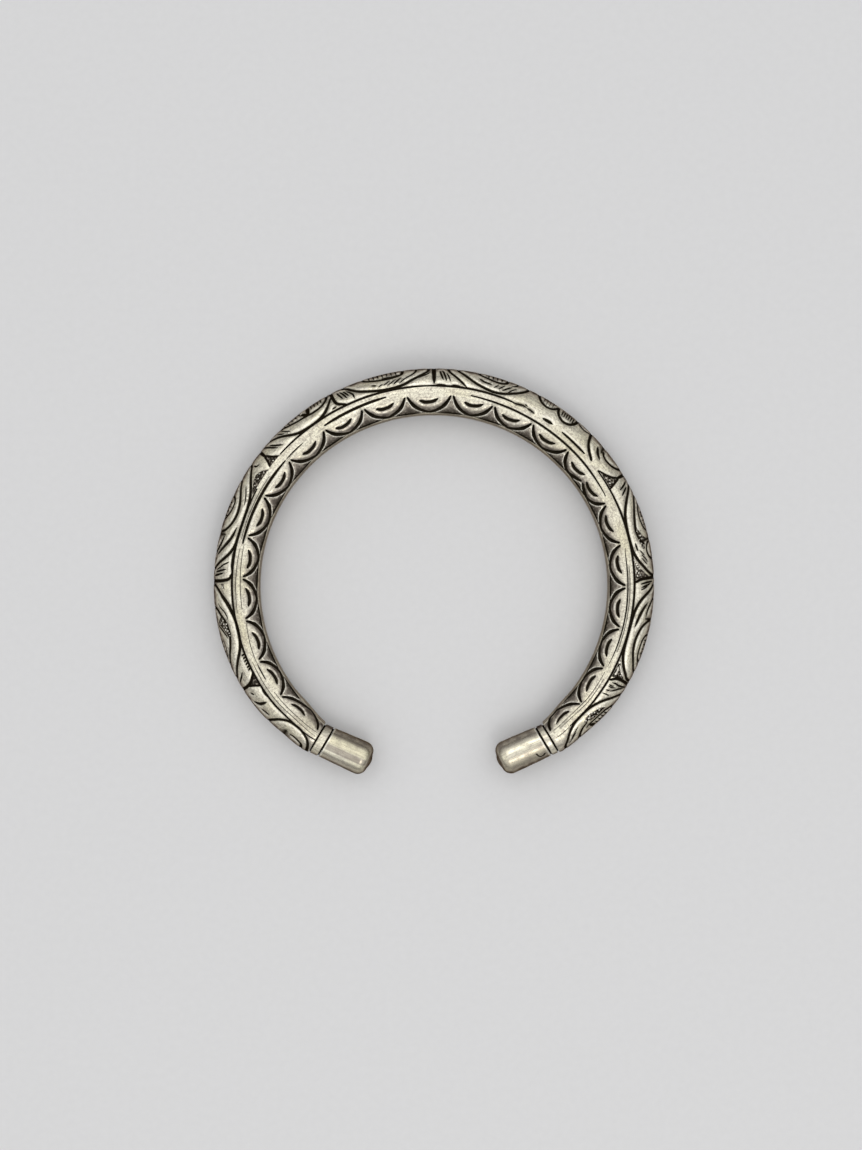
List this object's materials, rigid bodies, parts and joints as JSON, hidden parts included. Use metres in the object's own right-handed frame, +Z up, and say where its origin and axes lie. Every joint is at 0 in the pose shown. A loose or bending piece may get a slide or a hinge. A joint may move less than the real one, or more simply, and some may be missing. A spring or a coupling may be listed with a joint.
{
  "type": "open bangle (kada)",
  "caption": "Stiff open silver bangle with chased leaf and scallop ornament, narrow collars and plain rounded end caps.",
  "frame": {"origin": "middle of the whole outline seen from above, at the height of the face it rests on", "axes": "the bangle lies on its side: +X across it, +Y towards its closed back, +Z up along the wrist's axis"},
  "size_m": [0.0804, 0.074, 0.008],
  "materials": {
    "engraved_silver": "worn silver with dark oxidised engraving",
    "collar_silver": "worn polished silver",
    "cap_silver": "smooth worn silver, slightly tarnished"
  },
  "bodies": {
    "root": {"engraved_bar": "engraved_silver", "collar_right": "collar_silver", "collar_left": "collar_silver", "end_cap_right": "cap_silver", "end_cap_left": "cap_silver"}
  },
  "joints": []
}
